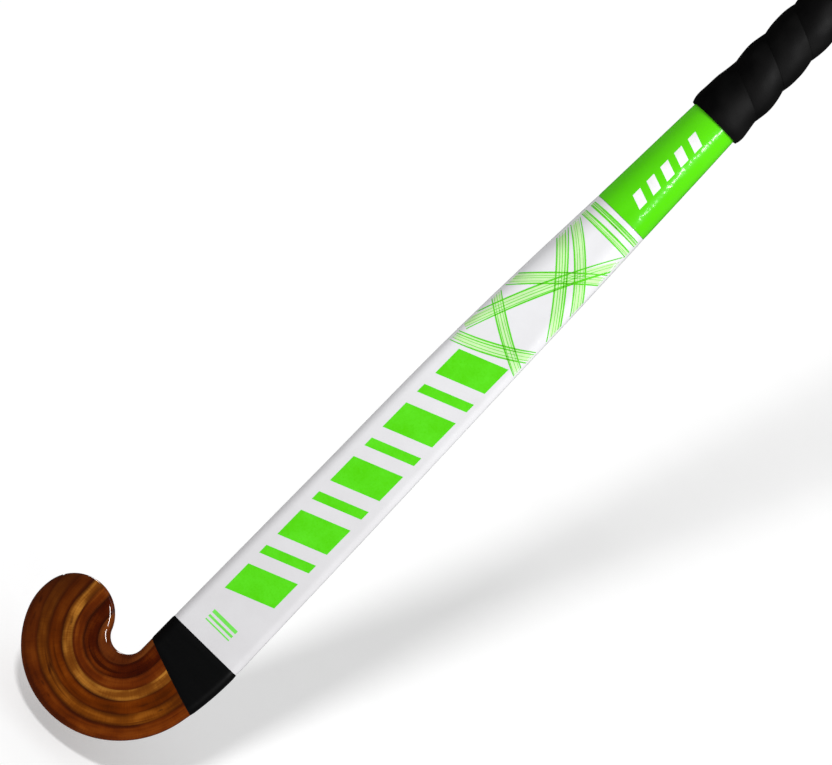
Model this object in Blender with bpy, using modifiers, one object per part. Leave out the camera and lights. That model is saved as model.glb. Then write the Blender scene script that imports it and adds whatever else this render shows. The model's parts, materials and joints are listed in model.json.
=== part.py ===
"""Field hockey stick of laminated wood, standing upright on the lowest point of its head.

Millimetres inside this script, metres in the scene. Shapes are drawn with the handle's centre line on
the Z axis, the flat playing face looking along -Y, the toe of the head along -X and the heel side +X.
An empty then carries every piece sideways, so that the origin is the middle of the stick's footprint.
The whole wooden body is lofted once as a hidden blank. The bent head laminae, the cane slats and the
rubber strips are flat outlines extruded through the blank and cut to its surface, with glue-line gaps.
"""

import math

import bmesh
import bpy
import numpy as np

MM = 0.001
GAP = 0.3

# Outline of the head, walked down the heel edge and round to the inside of the hook.
NECK_Z = 89.84
HEEL_EDGE_X = 25.6
TOE_EDGE_X = -22.6
EDGE_LEAN_DEG = 1.0
HEAD_ARCS = ((192.0, 12.7), (61.0, 47.5), (53.5, 100.0), (35.0, 32.2), (23.0, 146.7))  # radius, turn

# Edges of the shaft and handle: height, toe-side edge, heel-side edge.
SHAFT_EDGES = (
    (NECK_Z, TOE_EDGE_X, HEEL_EDGE_X),
    (200.0, -22.3, 23.4),
    (310.0, -22.0, 20.6),
    (370.0, -20.1, 19.2),
    (425.0, -17.7, 17.5),
    (490.0, -15.3, 15.4),
    (530.0, -13.7, 13.7),
    (560.0, -13.3, 13.3),
    (740.0, -13.3, 13.3),
    (921.0, -13.3, 13.3),
)
BLANK_TOP = 921.0
STICK_TOP = 927.0

# Heights of the sections through the shaft and handle, closer together where the shape changes.
SECTION_HEIGHTS = (110.0, 150.0, 200.0, 250.0, 300.0, 330.0, 360.0, 390.0, 420.0, 450.0, 480.0, 500.0,
                   515.0, 530.0, 545.0, 560.0, 740.0)
NECK_SECTION_HEIGHTS = (70.0, 79.0)
SECTION_MARGIN = 4.0
TOE_SECTIONS = 9
TOE_SHORTFALL = 0.02

# D-shaped section of the head and lower shaft, and the oval one of the handle.
FACE_Y = -11.5
FACE_ROUND = 5.0
BACK_Y = 11.5
BACK_ROUND = 20.0
OVAL_RATIO = 0.94
OVAL_STARTS = 300.0
OVAL_ENDS = 470.0

# Bend of the laminae: its centre, how far its sides are drawn in, and the radii of the glue lines
# between them, measured straight down.
BEND_X = -34.6
BEND_Z = 61.8
BEND_SQUEEZE = 3.0
BEND_SHIFT = 1.0
GLUE_RADII = (17.5, 25.5, 32.0, 38.0, 45.5, 52.0)
INSIDE_HOOK_RADIUS = 5.0
OUTSIDE_HEEL_RADIUS = 75.0
OVER_TOE_Z = 80.0
BEND_STEPS = 36
HOOK_STEPS = 30
DEGREES_PER_STEP = 3.0

# V splice between the laminae and the cane handle.
SPLICE_X = 1.5
SPLICE_Z = 120.0
SPLICE_RISE = 10.0
MIDDLE_SLAT_HALF = 3.0
RUBBER_THICKNESS = 1.2
SLAB_HALF_DEPTH = 30.0  # slabs reach right through the blank before they are cut to it
CUT_MARGIN = 20.0

# Layers over the wood, as depths under the finished surface.
FOIL_THICKNESS = 0.5
GLASS_DEPTH = FOIL_THICKNESS + GAP
GLASS_THICKNESS = 0.5
WOOD_DEPTH = GLASS_DEPTH + GLASS_THICKNESS + GAP
BAND_TOP = 87.9
BAND_FADE = 6.0
BAND_LOW_Z = 62.0
BAND_SLOPE = -0.33
BAND_BOW = 0.0012
BAND_SECTIONS = (0.0, 0.35, 0.7, 1.0)
FOIL_STEP_Z = (87.0, 90.0)
WHITE_FOIL_Z = (88.2, 421.8)
GREEN_FOIL_Z = (422.1, 499.0)
GLASS_Z = (90.5, 501.0)
UNDERWRAP_Z = (503.0, 902.0)

# Cushion grip: a strip wound in a left-handed spiral, each turn lapping over the one below.
GRIP_Z = (496.6, 903.0)
GRIP_PITCH = 23.2
GRIP_FIRST_EDGE = 515.6
GRIP_TILT = 2.5
GRIP_CLEARANCE = 0.6
GRIP_EDGE_THICKNESS = 1.1
GRIP_SHOULDER = 2.0
GRIP_CROWN = 2.65
LOW_SHOULDER_SHARE = 0.12
CROWN_SHARE = 0.4
HIGH_SHOULDER_SHARE = 0.8
GRIP_LAP = 2.0
GRIP_LAP_THICKNESS = 0.6
GRIP_END_SWELL = 0.32
GRIP_END_SWELL_Z = (522.0, 555.0)
GRIP_TOP_PINCH = 0.22
GRIP_TOP_PINCH_Z = (878.0, 895.0)
GRIP_END_ROLL = 9.0
GRIP_END_ROLL_START = 0.6
GRIP_END_ROLL_LEAST = 0.12
GRIP_STEPS = 18
GRIP_CORE_RADIUS = 100.0
GRIP_TRIM_HALF = 40.0

# Finishing tape and butt cap, turned shapes that share the handle's oval.
TAPE_Z = (896.0, 911.0)
TAPE_THICKNESS = 0.6
CAP_SKIRT_Z = 903.5
CAP_SHOULDER_Z = 913.0
CAP_SKIRT_RADIUS = 15.6
CAP_RADIUS = 17.2
CAP_FLAT_RADIUS = 12.5
CAP_BORE_RADIUS = 12.2
CAP_RIM_HEIGHT = 4.0
CAP_RIM_STEPS = 5
CAP_SHOULDER_HEIGHT = 1.0
TURN_STEPS = 32

ACROSS = 16
MERGE_M = 0.00001
PARTS_COLLECTION = "field_hockey_stick"
CUTTERS_COLLECTION = "cutters"

# Colours of the laminae, from the inside of the hook outwards.
LAMINA_COLOURS = (
    (0.30, 0.095, 0.020),
    (0.075, 0.012, 0.003),
    (0.18, 0.040, 0.005),
    (0.42, 0.170, 0.030),
    (0.16, 0.036, 0.004),
    (0.24, 0.070, 0.010),
    (0.15, 0.032, 0.006),
)
CANE_COLOUR = (0.55, 0.36, 0.16)
STRIP_RUBBER_COLOUR = (0.03, 0.03, 0.03)
GLASS_COLOUR = (0.75, 0.78, 0.70)
BAND_COLOUR = (0.008, 0.008, 0.009)
WHITE_COLOUR = (0.72, 0.70, 0.74)
GREEN_COLOUR = (0.08, 0.80, 0.005)
UNDERWRAP_COLOUR = (0.12, 0.12, 0.12)
GRIP_COLOUR = (0.012, 0.012, 0.013)
TAPE_COLOUR = (0.015, 0.015, 0.016)
CAP_COLOUR = (0.014, 0.014, 0.015)


def clear_scene():
    for obj in list(bpy.data.objects):
        bpy.data.objects.remove(obj, do_unlink=True)


def make_collection(name):
    collection = bpy.data.collections.new(name)
    bpy.context.scene.collection.children.link(collection)
    return collection


def make_material(name, colour, roughness, metallic=0.0):
    material = bpy.data.materials.new(name)
    material.use_nodes = True
    shader = material.node_tree.nodes["Principled BSDF"]
    shader.inputs["Base Color"].default_value = (*colour, 1.0)
    shader.inputs["Roughness"].default_value = roughness
    shader.inputs["Metallic"].default_value = metallic
    return material


def smooth_step(value, start, end):
    part = np.clip((value - start) / (end - start), 0.0, 1.0)
    return part * part * (3.0 - 2.0 * part)


def smooth_curve(z, column):
    """One column of SHAFT_EDGES at height z, as a cubic through the listed heights."""
    table = np.array(SHAFT_EDGES)
    heights = table[:, 0]
    values = table[:, column]
    slopes = np.gradient(values, heights)
    i = int(np.clip(np.searchsorted(heights, z) - 1, 0, len(heights) - 2))
    span = heights[i + 1] - heights[i]
    t = np.clip((z - heights[i]) / span, 0.0, 1.0)
    keep = (1.0 + 2.0 * t) * (1.0 - t) ** 2 * values[i] + t * t * (3.0 - 2.0 * t) * values[i + 1]
    lean = t * (1.0 - t) ** 2 * slopes[i] - t * t * (1.0 - t) * slopes[i + 1]
    return float(keep + span * lean)


def half_width(z):
    return (smooth_curve(z, 2) - smooth_curve(z, 1)) / 2.0


def arc_points(x, z, heading, radius, turn, steps):
    """Points along an arc from (x, z); a positive turn is to the left. Returns them and the heading."""
    side = math.copysign(1.0, turn)
    centre_x = x - side * radius * math.sin(heading)
    centre_z = z + side * radius * math.cos(heading)
    headings = [heading + turn * i / steps for i in range(1, steps + 1)]
    points = [(centre_x + side * radius * math.sin(h), centre_z - side * radius * math.cos(h))
              for h in headings]
    return points, headings[-1]


def head_outline():
    """Heel edge, underside, toe and hook as one line, from the neck's heel side to its toe side."""
    points = [(HEEL_EDGE_X, NECK_Z)]
    heading = math.radians(EDGE_LEAN_DEG - 90.0)
    for radius, turn in HEAD_ARCS:
        steps = max(4, round(turn / DEGREES_PER_STEP))
        arc, heading = arc_points(*points[-1], heading, radius, -math.radians(turn), steps)
        points += arc
    upwards = math.radians(90.0 - 360.0)
    hook_radius = (TOE_EDGE_X - points[-1][0]) / (1.0 - math.sin(heading))
    arc, heading = arc_points(*points[-1], heading, hook_radius, upwards - heading, HOOK_STEPS)
    return points + arc


def stick_outline():
    """Outline of the whole stick as seen on its playing face, open past the top."""
    step = 5.0
    heights = np.arange(NECK_Z + step, STICK_TOP + CUT_MARGIN, step)
    heel_edge = [(smooth_curve(z, 2), z) for z in heights[::-1]]
    toe_edge = [(smooth_curve(z, 1), z) for z in heights]
    return np.array(heel_edge + head_outline() + toe_edge)


OUTLINE = stick_outline()


def edge_distance(x, z):
    """Distance from a point inside the outline to its nearest edge."""
    point = np.array([x, z])
    start = OUTLINE[:-1]
    step = OUTLINE[1:] - start
    t = ((point - start) * step).sum(axis=1) / (step * step).sum(axis=1)
    nearest = start + np.clip(t, 0.0, 1.0)[:, None] * step
    return float(np.sqrt(((point - nearest) ** 2).sum(axis=1)).min())


def band_low_edge(x):
    """Height of the reinforcing band's slanted lower edge."""
    return BAND_LOW_Z + BAND_SLOPE * x + BAND_BOW * x * x


def wood_depth(x, z):
    """How far the wood lies under the finished surface: nothing on the head, a step under each layer."""
    under_band = GLASS_DEPTH * smooth_step(z - band_low_edge(x), -BAND_FADE, 0.0)
    under_foil = (WOOD_DEPTH - GLASS_DEPTH) * smooth_step(z, *FOIL_STEP_Z)
    return float(under_band + under_foil)


def surface_y(x, z, depth, back):
    """Height of the face or the back over the XZ plane, at a depth under the finished surface."""
    oval = smooth_step(z, OVAL_STARTS, OVAL_ENDS)
    half = half_width(max(z, NECK_Z))
    widest_y = (1.0 - oval) * (FACE_Y + FACE_ROUND)
    if back:
        reach = (1.0 - oval) * (BACK_Y - widest_y) + oval * OVAL_RATIO * half
        roll = (1.0 - oval) * BACK_ROUND + oval * half
    else:
        reach = -((1.0 - oval) * FACE_ROUND + oval * OVAL_RATIO * half)
        roll = (1.0 - oval) * FACE_ROUND + oval * half
    inward = np.clip((edge_distance(x, z) - depth) / (roll - depth), 0.0, 1.0)
    shrink = 1.0 - depth / abs(reach)
    return float(widest_y + reach * shrink * math.sqrt(1.0 - (1.0 - inward) ** 2))


def ring_between(left, right, depth_at):
    """Closed section between two edge points: over the face and back over the rear side."""
    fractions = [(1.0 - math.cos(math.pi * i / ACROSS)) / 2.0 for i in range(ACROSS + 1)]
    line = [(left[0] + f * (right[0] - left[0]), left[1] + f * (right[1] - left[1])) for f in fractions]
    face = [(x, surface_y(x, z, depth_at(x, z), False), z) for x, z in line]
    rear = [(x, surface_y(x, z, depth_at(x, z), True), z) for x, z in line[1:-1]]
    return face + rear[::-1]


def edge_x(z, heel):
    """Where the heel-side or the toe-side edge of the shaft is at a height above the hook."""
    crossings = []
    for (x0, z0), (x1, z1) in zip(OUTLINE[:-1], OUTLINE[1:]):
        if min(z0, z1) <= z <= max(z0, z1) and z0 != z1:
            crossings.append(x0 + (z - z0) / (z1 - z0) * (x1 - x0))
    shaft_side = [x for x in crossings if x > BEND_X]
    return max(shaft_side) if heel else min(shaft_side)


def shaft_ring(toe_z, heel_z, depth):
    """Section of the shaft at a depth under its surface, from toe_z on one edge to heel_z on the other."""
    left = (edge_x(toe_z, False) + depth, toe_z)
    right = (edge_x(heel_z, True) - depth, heel_z)
    return ring_between(left, right, lambda x, z: depth)


def ray_span(origin, direction):
    """Nearest and farthest distances at which a ray in the XZ plane meets the outline."""
    hits = []
    for start, end in zip(OUTLINE[:-1], OUTLINE[1:]):
        step = end - start
        cross = direction[0] * step[1] - direction[1] * step[0]
        if abs(cross) < 1e-9:
            continue
        offset = start - origin
        along = (offset[0] * step[1] - offset[1] * step[0]) / cross
        part = (offset[0] * direction[1] - offset[1] * direction[0]) / cross
        if along > 0.0 and 0.0 <= part <= 1.0:
            hits.append(along)
    return min(hits), max(hits)


def blank_ring(origin, direction):
    """Section of the wooden blank along a ray that starts inside the hook."""
    origin = np.array(origin)
    direction = np.array(direction)
    near, far = ray_span(origin, direction)
    inner = origin + direction * near
    outer = origin + direction * far
    inner = inner + direction * wood_depth(*inner)
    outer = outer - direction * wood_depth(*outer)
    return ring_between(inner, outer, wood_depth)


def section_heights(low, high):
    """Heights of the sections of a sleeve or of the blank between two ends, both included."""
    between = [z for z in SECTION_HEIGHTS if low + SECTION_MARGIN < z < high - SECTION_MARGIN]
    return [low, *between, high]


def blank_rings():
    """Sections of the blank from the tip of the toe, round the bend and up to the top of the handle."""
    rings = []
    toe_rise = max(z for x, z in OUTLINE if x < BEND_X) - BEND_Z
    for i in range(TOE_SECTIONS):
        share = math.sin(math.pi / 2.0 * (1.0 - i / TOE_SECTIONS))
        z = BEND_Z + toe_rise * share - TOE_SHORTFALL
        rings.append(blank_ring((BEND_X, z), (-1.0, 0.0)))
    for i in range(BEND_STEPS, 0, -1):
        angle = math.pi * i / BEND_STEPS
        rings.append(blank_ring((BEND_X, BEND_Z), (math.cos(angle), -math.sin(angle))))
    film_starts, film_full = FOIL_STEP_Z
    heights = [BEND_Z, *NECK_SECTION_HEIGHTS, film_starts, *section_heights(film_full, BLANK_TOP)]
    for z in heights:
        rings.append(blank_ring((BEND_X, z), (1.0, 0.0)))
    return rings


def link_mesh(name, mesh, collection):
    obj = bpy.data.objects.new(name, mesh)
    collection.objects.link(obj)
    return obj


def loft(name, rings, capped):
    """Mesh through equal-count rings, closed round each ring and capped at the ends if asked."""
    mesh = bpy.data.meshes.new(name)
    bm = bmesh.new()
    rows = [[bm.verts.new((x * MM, y * MM, z * MM)) for x, y, z in ring] for ring in rings]
    for lower, upper in zip(rows[:-1], rows[1:]):
        for i in range(len(lower)):
            j = (i + 1) % len(lower)
            bm.faces.new((lower[i], lower[j], upper[j], upper[i]))
    if capped:
        bm.faces.new(rows[0][::-1])
        bm.faces.new(rows[-1])
    bmesh.ops.recalc_face_normals(bm, faces=bm.faces)
    bm.to_mesh(mesh)
    bm.free()
    return mesh


def triangulate(mesh):
    bm = bmesh.new()
    bm.from_mesh(mesh)
    bmesh.ops.triangulate(bm, faces=bm.faces)
    bm.to_mesh(mesh)
    bm.free()


def weld_and_close(mesh):
    """Weld loose caps, fill open ends and turn the faces outwards."""
    bm = bmesh.new()
    bm.from_mesh(mesh)
    bmesh.ops.remove_doubles(bm, verts=bm.verts, dist=MERGE_M)
    bmesh.ops.holes_fill(bm, edges=[e for e in bm.edges if e.is_boundary])
    bmesh.ops.recalc_face_normals(bm, faces=bm.faces)
    bm.to_mesh(mesh)
    bm.free()


def as_mesh_object(source, collection):
    """Replace a curve, or an object with modifiers, by the mesh it evaluates to."""
    bpy.context.view_layer.update()
    evaluated = source.evaluated_get(bpy.context.evaluated_depsgraph_get())
    mesh = bpy.data.meshes.new_from_object(evaluated)
    weld_and_close(mesh)
    name = source.name
    matrix = source.matrix_world.copy()
    bpy.data.objects.remove(source, do_unlink=True)
    mesh.name = name
    obj = link_mesh(name, mesh, collection)
    obj.matrix_world = matrix
    return obj


def extruded_outline(name, points, y_from, y_to, collection):
    """Slab with a flat outline in the XZ plane, between two depths along Y."""
    curve = bpy.data.curves.new(name, "CURVE")
    curve.dimensions = "2D"
    curve.fill_mode = "BOTH"
    curve.extrude = (y_to - y_from) / 2.0 * MM
    spline = curve.splines.new("POLY")
    spline.points.add(len(points) - 1)
    for point, (x, z) in zip(spline.points, points):
        point.co = (x * MM, z * MM, 0.0, 1.0)
    spline.use_cyclic_u = True
    obj = bpy.data.objects.new(name, curve)
    collection.objects.link(obj)
    obj.rotation_euler = (math.pi / 2.0, 0.0, 0.0)
    obj.location = (0.0, (y_from + y_to) / 2.0 * MM, 0.0)
    return as_mesh_object(obj, collection)


def add_boolean(obj, operation, cutter):
    modifier = obj.modifiers.new(operation.lower(), "BOOLEAN")
    modifier.operation = operation
    modifier.solver = "EXACT"
    modifier.object = cutter


def shade(obj, angle_deg=35.0):
    obj.data.shade_smooth()
    obj.data.set_sharp_from_angle(angle=math.radians(angle_deg))


def finish(obj, colour, roughness, metallic=0.0):
    obj.data.materials.clear()
    obj.data.materials.append(make_material(obj.name, colour, roughness, metallic))
    shade(obj)


def make_blank(cutters):
    mesh = loft("wooden_blank", blank_rings(), capped=True)
    triangulate(mesh)
    blank = link_mesh("wooden_blank", mesh, cutters)
    blank.hide_render = True
    blank.display_type = "WIRE"
    return blank


def splice_z(x):
    """Height of the V splice at x, where the laminae stop and the cane starts."""
    return SPLICE_Z + SPLICE_RISE * abs(x - SPLICE_X)


def bent_line(radius):
    """Line along one glue line of the bend, from the splice down, round and up past the toe."""
    points = []
    for i in range(BEND_STEPS + 1):
        angle = math.pi * i / BEND_STEPS
        drawn_in = BEND_SQUEEZE * math.cos(angle) ** 2 - BEND_SHIFT * math.cos(angle)
        reach = radius - drawn_in
        points.append((BEND_X + reach * math.cos(angle), BEND_Z - reach * math.sin(angle)))
    shaft_x = points[0][0]
    toe_x = points[-1][0]
    return [(shaft_x, splice_z(shaft_x)), *points, (toe_x, OVER_TOE_Z)]


def lamina_outline(inner, outer):
    """U-shaped outline of one lamina, with its shaft leg cut along the splice."""
    inner_line = bent_line(inner)
    outer_line = bent_line(outer)
    if inner_line[0][0] < SPLICE_X < outer_line[0][0]:
        outer_line.insert(0, (SPLICE_X, SPLICE_Z))
    return inner_line + outer_line[::-1]


def make_laminae(parts, blank):
    radii = (INSIDE_HOOK_RADIUS,) + GLUE_RADII + (OUTSIDE_HEEL_RADIUS,)
    for i, colour in enumerate(LAMINA_COLOURS):
        outline = lamina_outline(radii[i] + GAP / 2.0, radii[i + 1] - GAP / 2.0)
        lamina = extruded_outline(f"head_lamina_{i + 1}", outline, -SLAB_HALF_DEPTH, SLAB_HALF_DEPTH, parts)
        add_boolean(lamina, "INTERSECT", blank)
        finish(lamina, colour, 0.25)


def wedge_outline():
    """Handle outline with the V-shaped foot that sits in the splice."""
    clear = GAP * math.hypot(1.0, SPLICE_RISE)
    spread = SLAB_HALF_DEPTH
    top = STICK_TOP + CUT_MARGIN
    shoulder = SPLICE_Z + clear + SPLICE_RISE * spread
    return [
        (SPLICE_X, SPLICE_Z + clear),
        (SPLICE_X + spread, shoulder),
        (SPLICE_X + spread, top),
        (SPLICE_X - spread, top),
        (SPLICE_X - spread, shoulder),
    ]


def make_handle_core(parts, blank):
    rubber_in = MIDDLE_SLAT_HALF + GAP
    rubber_out = rubber_in + RUBBER_THICKNESS
    outer_in = rubber_out + GAP
    cane = (CANE_COLOUR, 0.6)
    rubber = (STRIP_RUBBER_COLOUR, 0.8)
    layers = (
        ("handle_slat_face", -SLAB_HALF_DEPTH, -outer_in, *cane),
        ("handle_rubber_face", -rubber_out, -rubber_in, *rubber),
        ("handle_slat_middle", -MIDDLE_SLAT_HALF, MIDDLE_SLAT_HALF, *cane),
        ("handle_rubber_back", rubber_in, rubber_out, *rubber),
        ("handle_slat_back", outer_in, SLAB_HALF_DEPTH, *cane),
    )
    for name, y_from, y_to, colour, roughness in layers:
        layer = extruded_outline(name, wedge_outline(), y_from, y_to, parts)
        add_boolean(layer, "INTERSECT", blank)
        finish(layer, colour, roughness)


def make_sleeve(name, rings, thickness, parts, colour, roughness):
    """Thin tube: the outer skin through the rings, thickened inwards."""
    sleeve = link_mesh(name, loft(name, rings, capped=False), parts)
    shell = sleeve.modifiers.new("shell", "SOLIDIFY")
    shell.thickness = thickness * MM
    shell.offset = -1.0
    shell.use_even_offset = True
    finish(sleeve, colour, roughness)


def level_sleeve(name, ends, depth, thickness, parts, colour, roughness):
    """Sleeve with level ends, at a depth under the finished surface."""
    rings = [shaft_ring(z, z, depth) for z in section_heights(*ends)]
    make_sleeve(name, rings, thickness, parts, colour, roughness)


def make_band(parts):
    """Black band round the neck: a slanted lower edge and a level top."""
    toe_z = band_low_edge(TOE_EDGE_X)
    heel_z = band_low_edge(HEEL_EDGE_X)
    rings = [shaft_ring(toe_z + f * (BAND_TOP - toe_z), heel_z + f * (BAND_TOP - heel_z), 0.0)
             for f in BAND_SECTIONS]
    make_sleeve("neck_band", rings, FOIL_THICKNESS, parts, BAND_COLOUR, 0.35)


def make_sleeves(parts):
    level_sleeve("white_sleeve", WHITE_FOIL_Z, 0.0, FOIL_THICKNESS, parts, WHITE_COLOUR, 0.4)
    level_sleeve("green_sleeve", GREEN_FOIL_Z, 0.0, FOIL_THICKNESS, parts, GREEN_COLOUR, 0.3)
    level_sleeve("glass_fibre_sleeve", GLASS_Z, GLASS_DEPTH, GLASS_THICKNESS, parts, GLASS_COLOUR, 0.3)
    level_sleeve("grip_underwrap", UNDERWRAP_Z, GLASS_DEPTH, GLASS_THICKNESS, parts, UNDERWRAP_COLOUR, 0.9)


def turned(name, profile, collection, turns=1, drop=0.0, steps=TURN_STEPS):
    """Closed profile of (radius, height) points screwed round the Z axis."""
    mesh = bpy.data.meshes.new(name)
    vertices = [(r * MM, 0.0, z * MM) for r, z in profile]
    count = len(vertices)
    on_axis = profile[0][0] == 0.0
    edges = [(i, (i + 1) % count) for i in range(count - 1 if on_axis else count)]
    mesh.from_pydata(vertices, edges, [])
    obj = link_mesh(name, mesh, collection)
    screw = obj.modifiers.new("screw", "SCREW")
    screw.axis = "Z"
    screw.angle = 2.0 * math.pi
    screw.screw_offset = -drop * MM
    screw.iterations = turns
    screw.steps = steps
    screw.render_steps = steps
    screw.use_merge_vertices = drop == 0.0
    screw.merge_threshold = MERGE_M
    return as_mesh_object(obj, collection)


def strip_profile(top_edge_z):
    """Section of the grip strip against a core of radius 0: lapped foot, crowned middle, thin tongue."""
    foot = top_edge_z - GRIP_PITCH
    return [
        (GRIP_LAP_THICKNESS + GAP, foot),
        (GRIP_EDGE_THICKNESS, foot),
        (GRIP_SHOULDER, foot + GRIP_PITCH * LOW_SHOULDER_SHARE),
        (GRIP_CROWN, foot + GRIP_PITCH * CROWN_SHARE),
        (GRIP_SHOULDER, foot + GRIP_PITCH * HIGH_SHOULDER_SHARE),
        (GRIP_EDGE_THICKNESS, foot + GRIP_PITCH - GAP),
        (GRIP_LAP_THICKNESS, foot + GRIP_PITCH - GAP),
        (0.0, foot + GRIP_PITCH + GRIP_LAP - 2.0 * GAP),
        (0.0, foot + GRIP_LAP + GAP),
    ]


def grip_swell(z):
    """Thickness of the grip against its nominal one: full at the foot, pinched by the tape at the top."""
    first_turn = GRIP_END_SWELL * (1.0 - smooth_step(z, *GRIP_END_SWELL_Z))
    pinched = GRIP_TOP_PINCH * smooth_step(z, *GRIP_TOP_PINCH_Z)
    rolled = np.clip((z - GRIP_Z[0] + GRIP_END_ROLL_START) / GRIP_END_ROLL, GRIP_END_ROLL_LEAST, 1.0)
    return float((1.0 + first_turn - pinched) * math.sqrt(1.0 - (1.0 - rolled) ** 2))


def make_grip(parts, cutters):
    """Wind the strip round a thin core, then lay it on the handle's oval and square off its ends."""
    lowest, highest = GRIP_Z
    turns = math.ceil((highest - lowest) / GRIP_PITCH) + 2
    top_edge = GRIP_FIRST_EDGE + GRIP_PITCH * (turns - 1)
    profile = [(GRIP_CORE_RADIUS + r, z) for r, z in strip_profile(top_edge)]
    grip = turned("cushion_grip", profile, parts, turns, GRIP_PITCH, GRIP_STEPS)
    for vertex in grip.data.vertices:
        x, y, z = (value / MM for value in vertex.co)
        angle = math.atan2(y, x)
        z -= GRIP_TILT * math.cos(angle)
        height = min(max(z, lowest), highest)
        build_up = (math.hypot(x, y) - GRIP_CORE_RADIUS) * grip_swell(height)
        radius = half_width(height) + GRIP_CLEARANCE + build_up
        vertex.co = (radius * math.cos(angle) * MM, radius * OVAL_RATIO * math.sin(angle) * MM, z * MM)
    half = GRIP_TRIM_HALF
    corners = [(-half, lowest), (half, lowest), (half, highest), (-half, highest)]
    trim = extruded_outline("grip_trim", corners, -half, half, cutters)
    trim.hide_render = True
    trim.display_type = "WIRE"
    add_boolean(grip, "INTERSECT", trim)
    finish(grip, GRIP_COLOUR, 0.85)


def make_tape(parts):
    low, high = TAPE_Z
    inner = CAP_SKIRT_RADIUS + 2.0 * GAP
    outer = inner + TAPE_THICKNESS
    tape = turned("grip_finish_tape", [(inner, low), (inner, high), (outer, high), (outer, low)], parts)
    tape.scale.y = OVAL_RATIO
    finish(tape, TAPE_COLOUR, 0.5)


def make_cap(parts):
    """Rubber cup over the end of the handle, with a rounded rim and a flat top."""
    profile = [(0.0, STICK_TOP), (CAP_FLAT_RADIUS, STICK_TOP)]
    for i in range(1, CAP_RIM_STEPS + 1):
        angle = math.pi / 2.0 * i / CAP_RIM_STEPS
        profile.append((CAP_FLAT_RADIUS + (CAP_RADIUS - CAP_FLAT_RADIUS) * math.sin(angle),
                        STICK_TOP - CAP_RIM_HEIGHT * (1.0 - math.cos(angle))))
    profile += [
        (CAP_RADIUS, CAP_SHOULDER_Z),
        (CAP_SKIRT_RADIUS, CAP_SHOULDER_Z - CAP_SHOULDER_HEIGHT),
        (CAP_SKIRT_RADIUS, CAP_SKIRT_Z),
        (CAP_BORE_RADIUS, CAP_SKIRT_Z),
        (CAP_BORE_RADIUS, BLANK_TOP + GAP),
        (0.0, BLANK_TOP + GAP),
    ]
    cap = turned("butt_cap", profile, parts)
    cap.scale.y = OVAL_RATIO
    finish(cap, CAP_COLOUR, 0.6)


def centre_footprint(parts, cutters):
    """Hang every piece from an empty that brings the middle of the footprint over the origin."""
    root = bpy.data.objects.new("stick_root", None)
    for obj in [*parts.objects, *cutters.objects]:
        obj.parent = root
    parts.objects.link(root)
    root.location.x = -(OUTLINE[:, 0].min() + OUTLINE[:, 0].max()) / 2.0 * MM


def main():
    clear_scene()
    parts = make_collection(PARTS_COLLECTION)
    cutters = make_collection(CUTTERS_COLLECTION)
    blank = make_blank(cutters)
    make_laminae(parts, blank)
    make_handle_core(parts, blank)
    make_band(parts)
    make_sleeves(parts)
    make_grip(parts, cutters)
    make_tape(parts)
    make_cap(parts)
    centre_footprint(parts, cutters)


main()
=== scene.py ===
"""Looks for the field hockey stick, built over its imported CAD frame.

Lengths are millimetres unless a name says otherwise; the scene is in metres. Shapes are worked out with
the handle's centre line on Z, the flat playing face looking along -Y and the toe along -X, and each mesh
is then shifted sideways to where the frame holds the handle.
"""

import json
import math

import bmesh
import bpy
import numpy as np
from mathutils import Matrix, Vector, noise


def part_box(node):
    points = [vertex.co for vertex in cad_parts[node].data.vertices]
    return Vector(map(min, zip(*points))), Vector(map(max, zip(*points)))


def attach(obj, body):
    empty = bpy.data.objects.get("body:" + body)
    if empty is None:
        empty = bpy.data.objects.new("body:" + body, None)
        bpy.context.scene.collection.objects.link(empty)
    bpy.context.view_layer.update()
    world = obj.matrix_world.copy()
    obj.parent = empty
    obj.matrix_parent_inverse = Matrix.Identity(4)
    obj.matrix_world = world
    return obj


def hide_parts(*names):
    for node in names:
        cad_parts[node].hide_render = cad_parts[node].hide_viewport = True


MM = 0.001
TINY = 1e-9

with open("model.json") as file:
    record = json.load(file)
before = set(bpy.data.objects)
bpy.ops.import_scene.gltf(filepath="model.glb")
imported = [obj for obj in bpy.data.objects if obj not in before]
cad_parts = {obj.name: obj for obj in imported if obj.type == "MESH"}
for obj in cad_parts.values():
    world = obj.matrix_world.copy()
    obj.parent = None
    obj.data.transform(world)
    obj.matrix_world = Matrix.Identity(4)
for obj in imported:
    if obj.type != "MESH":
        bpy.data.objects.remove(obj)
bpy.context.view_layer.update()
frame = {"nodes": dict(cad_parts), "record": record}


def span(node, axis):
    """Lowest and highest coordinate of a CAD node along an axis, in millimetres."""
    low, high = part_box(node)
    return low[axis] / MM, high[axis] / MM


# Sizes and places read from the frame.
WHITE_Z = span("white_sleeve", 2)
GREEN_Z = span("green_sleeve", 2)
BAND_TOP = span("neck_band", 2)[1]
GRIP_Z = span("cushion_grip", 2)
TAPE_Z = span("grip_finish_tape", 2)
TAPE_RADIUS = np.ptp(span("grip_finish_tape", 0)) / 2.0
CAP_Z = span("butt_cap", 2)
CAP_RADIUS = np.ptp(span("butt_cap", 0)) / 2.0
HANDLE_X = np.mean(span("butt_cap", 0))
FACE_Y, BACK_Y = span("neck_band", 1)

# Outline of the head, walked down the heel edge and round to the inside of the hook.
NECK_Z = 89.84
HEEL_EDGE_X = 25.6
TOE_EDGE_X = -22.6
EDGE_LEAN_DEG = 1.0
HEAD_ARCS = ((192.0, 12.7), (61.0, 47.5), (53.5, 100.0), (35.0, 32.2), (23.0, 146.7))  # radius, turn
HOOK_STEPS = 90
OUTLINE_TOP = 200.0
OUTLINE_STEP = 5.0

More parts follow.
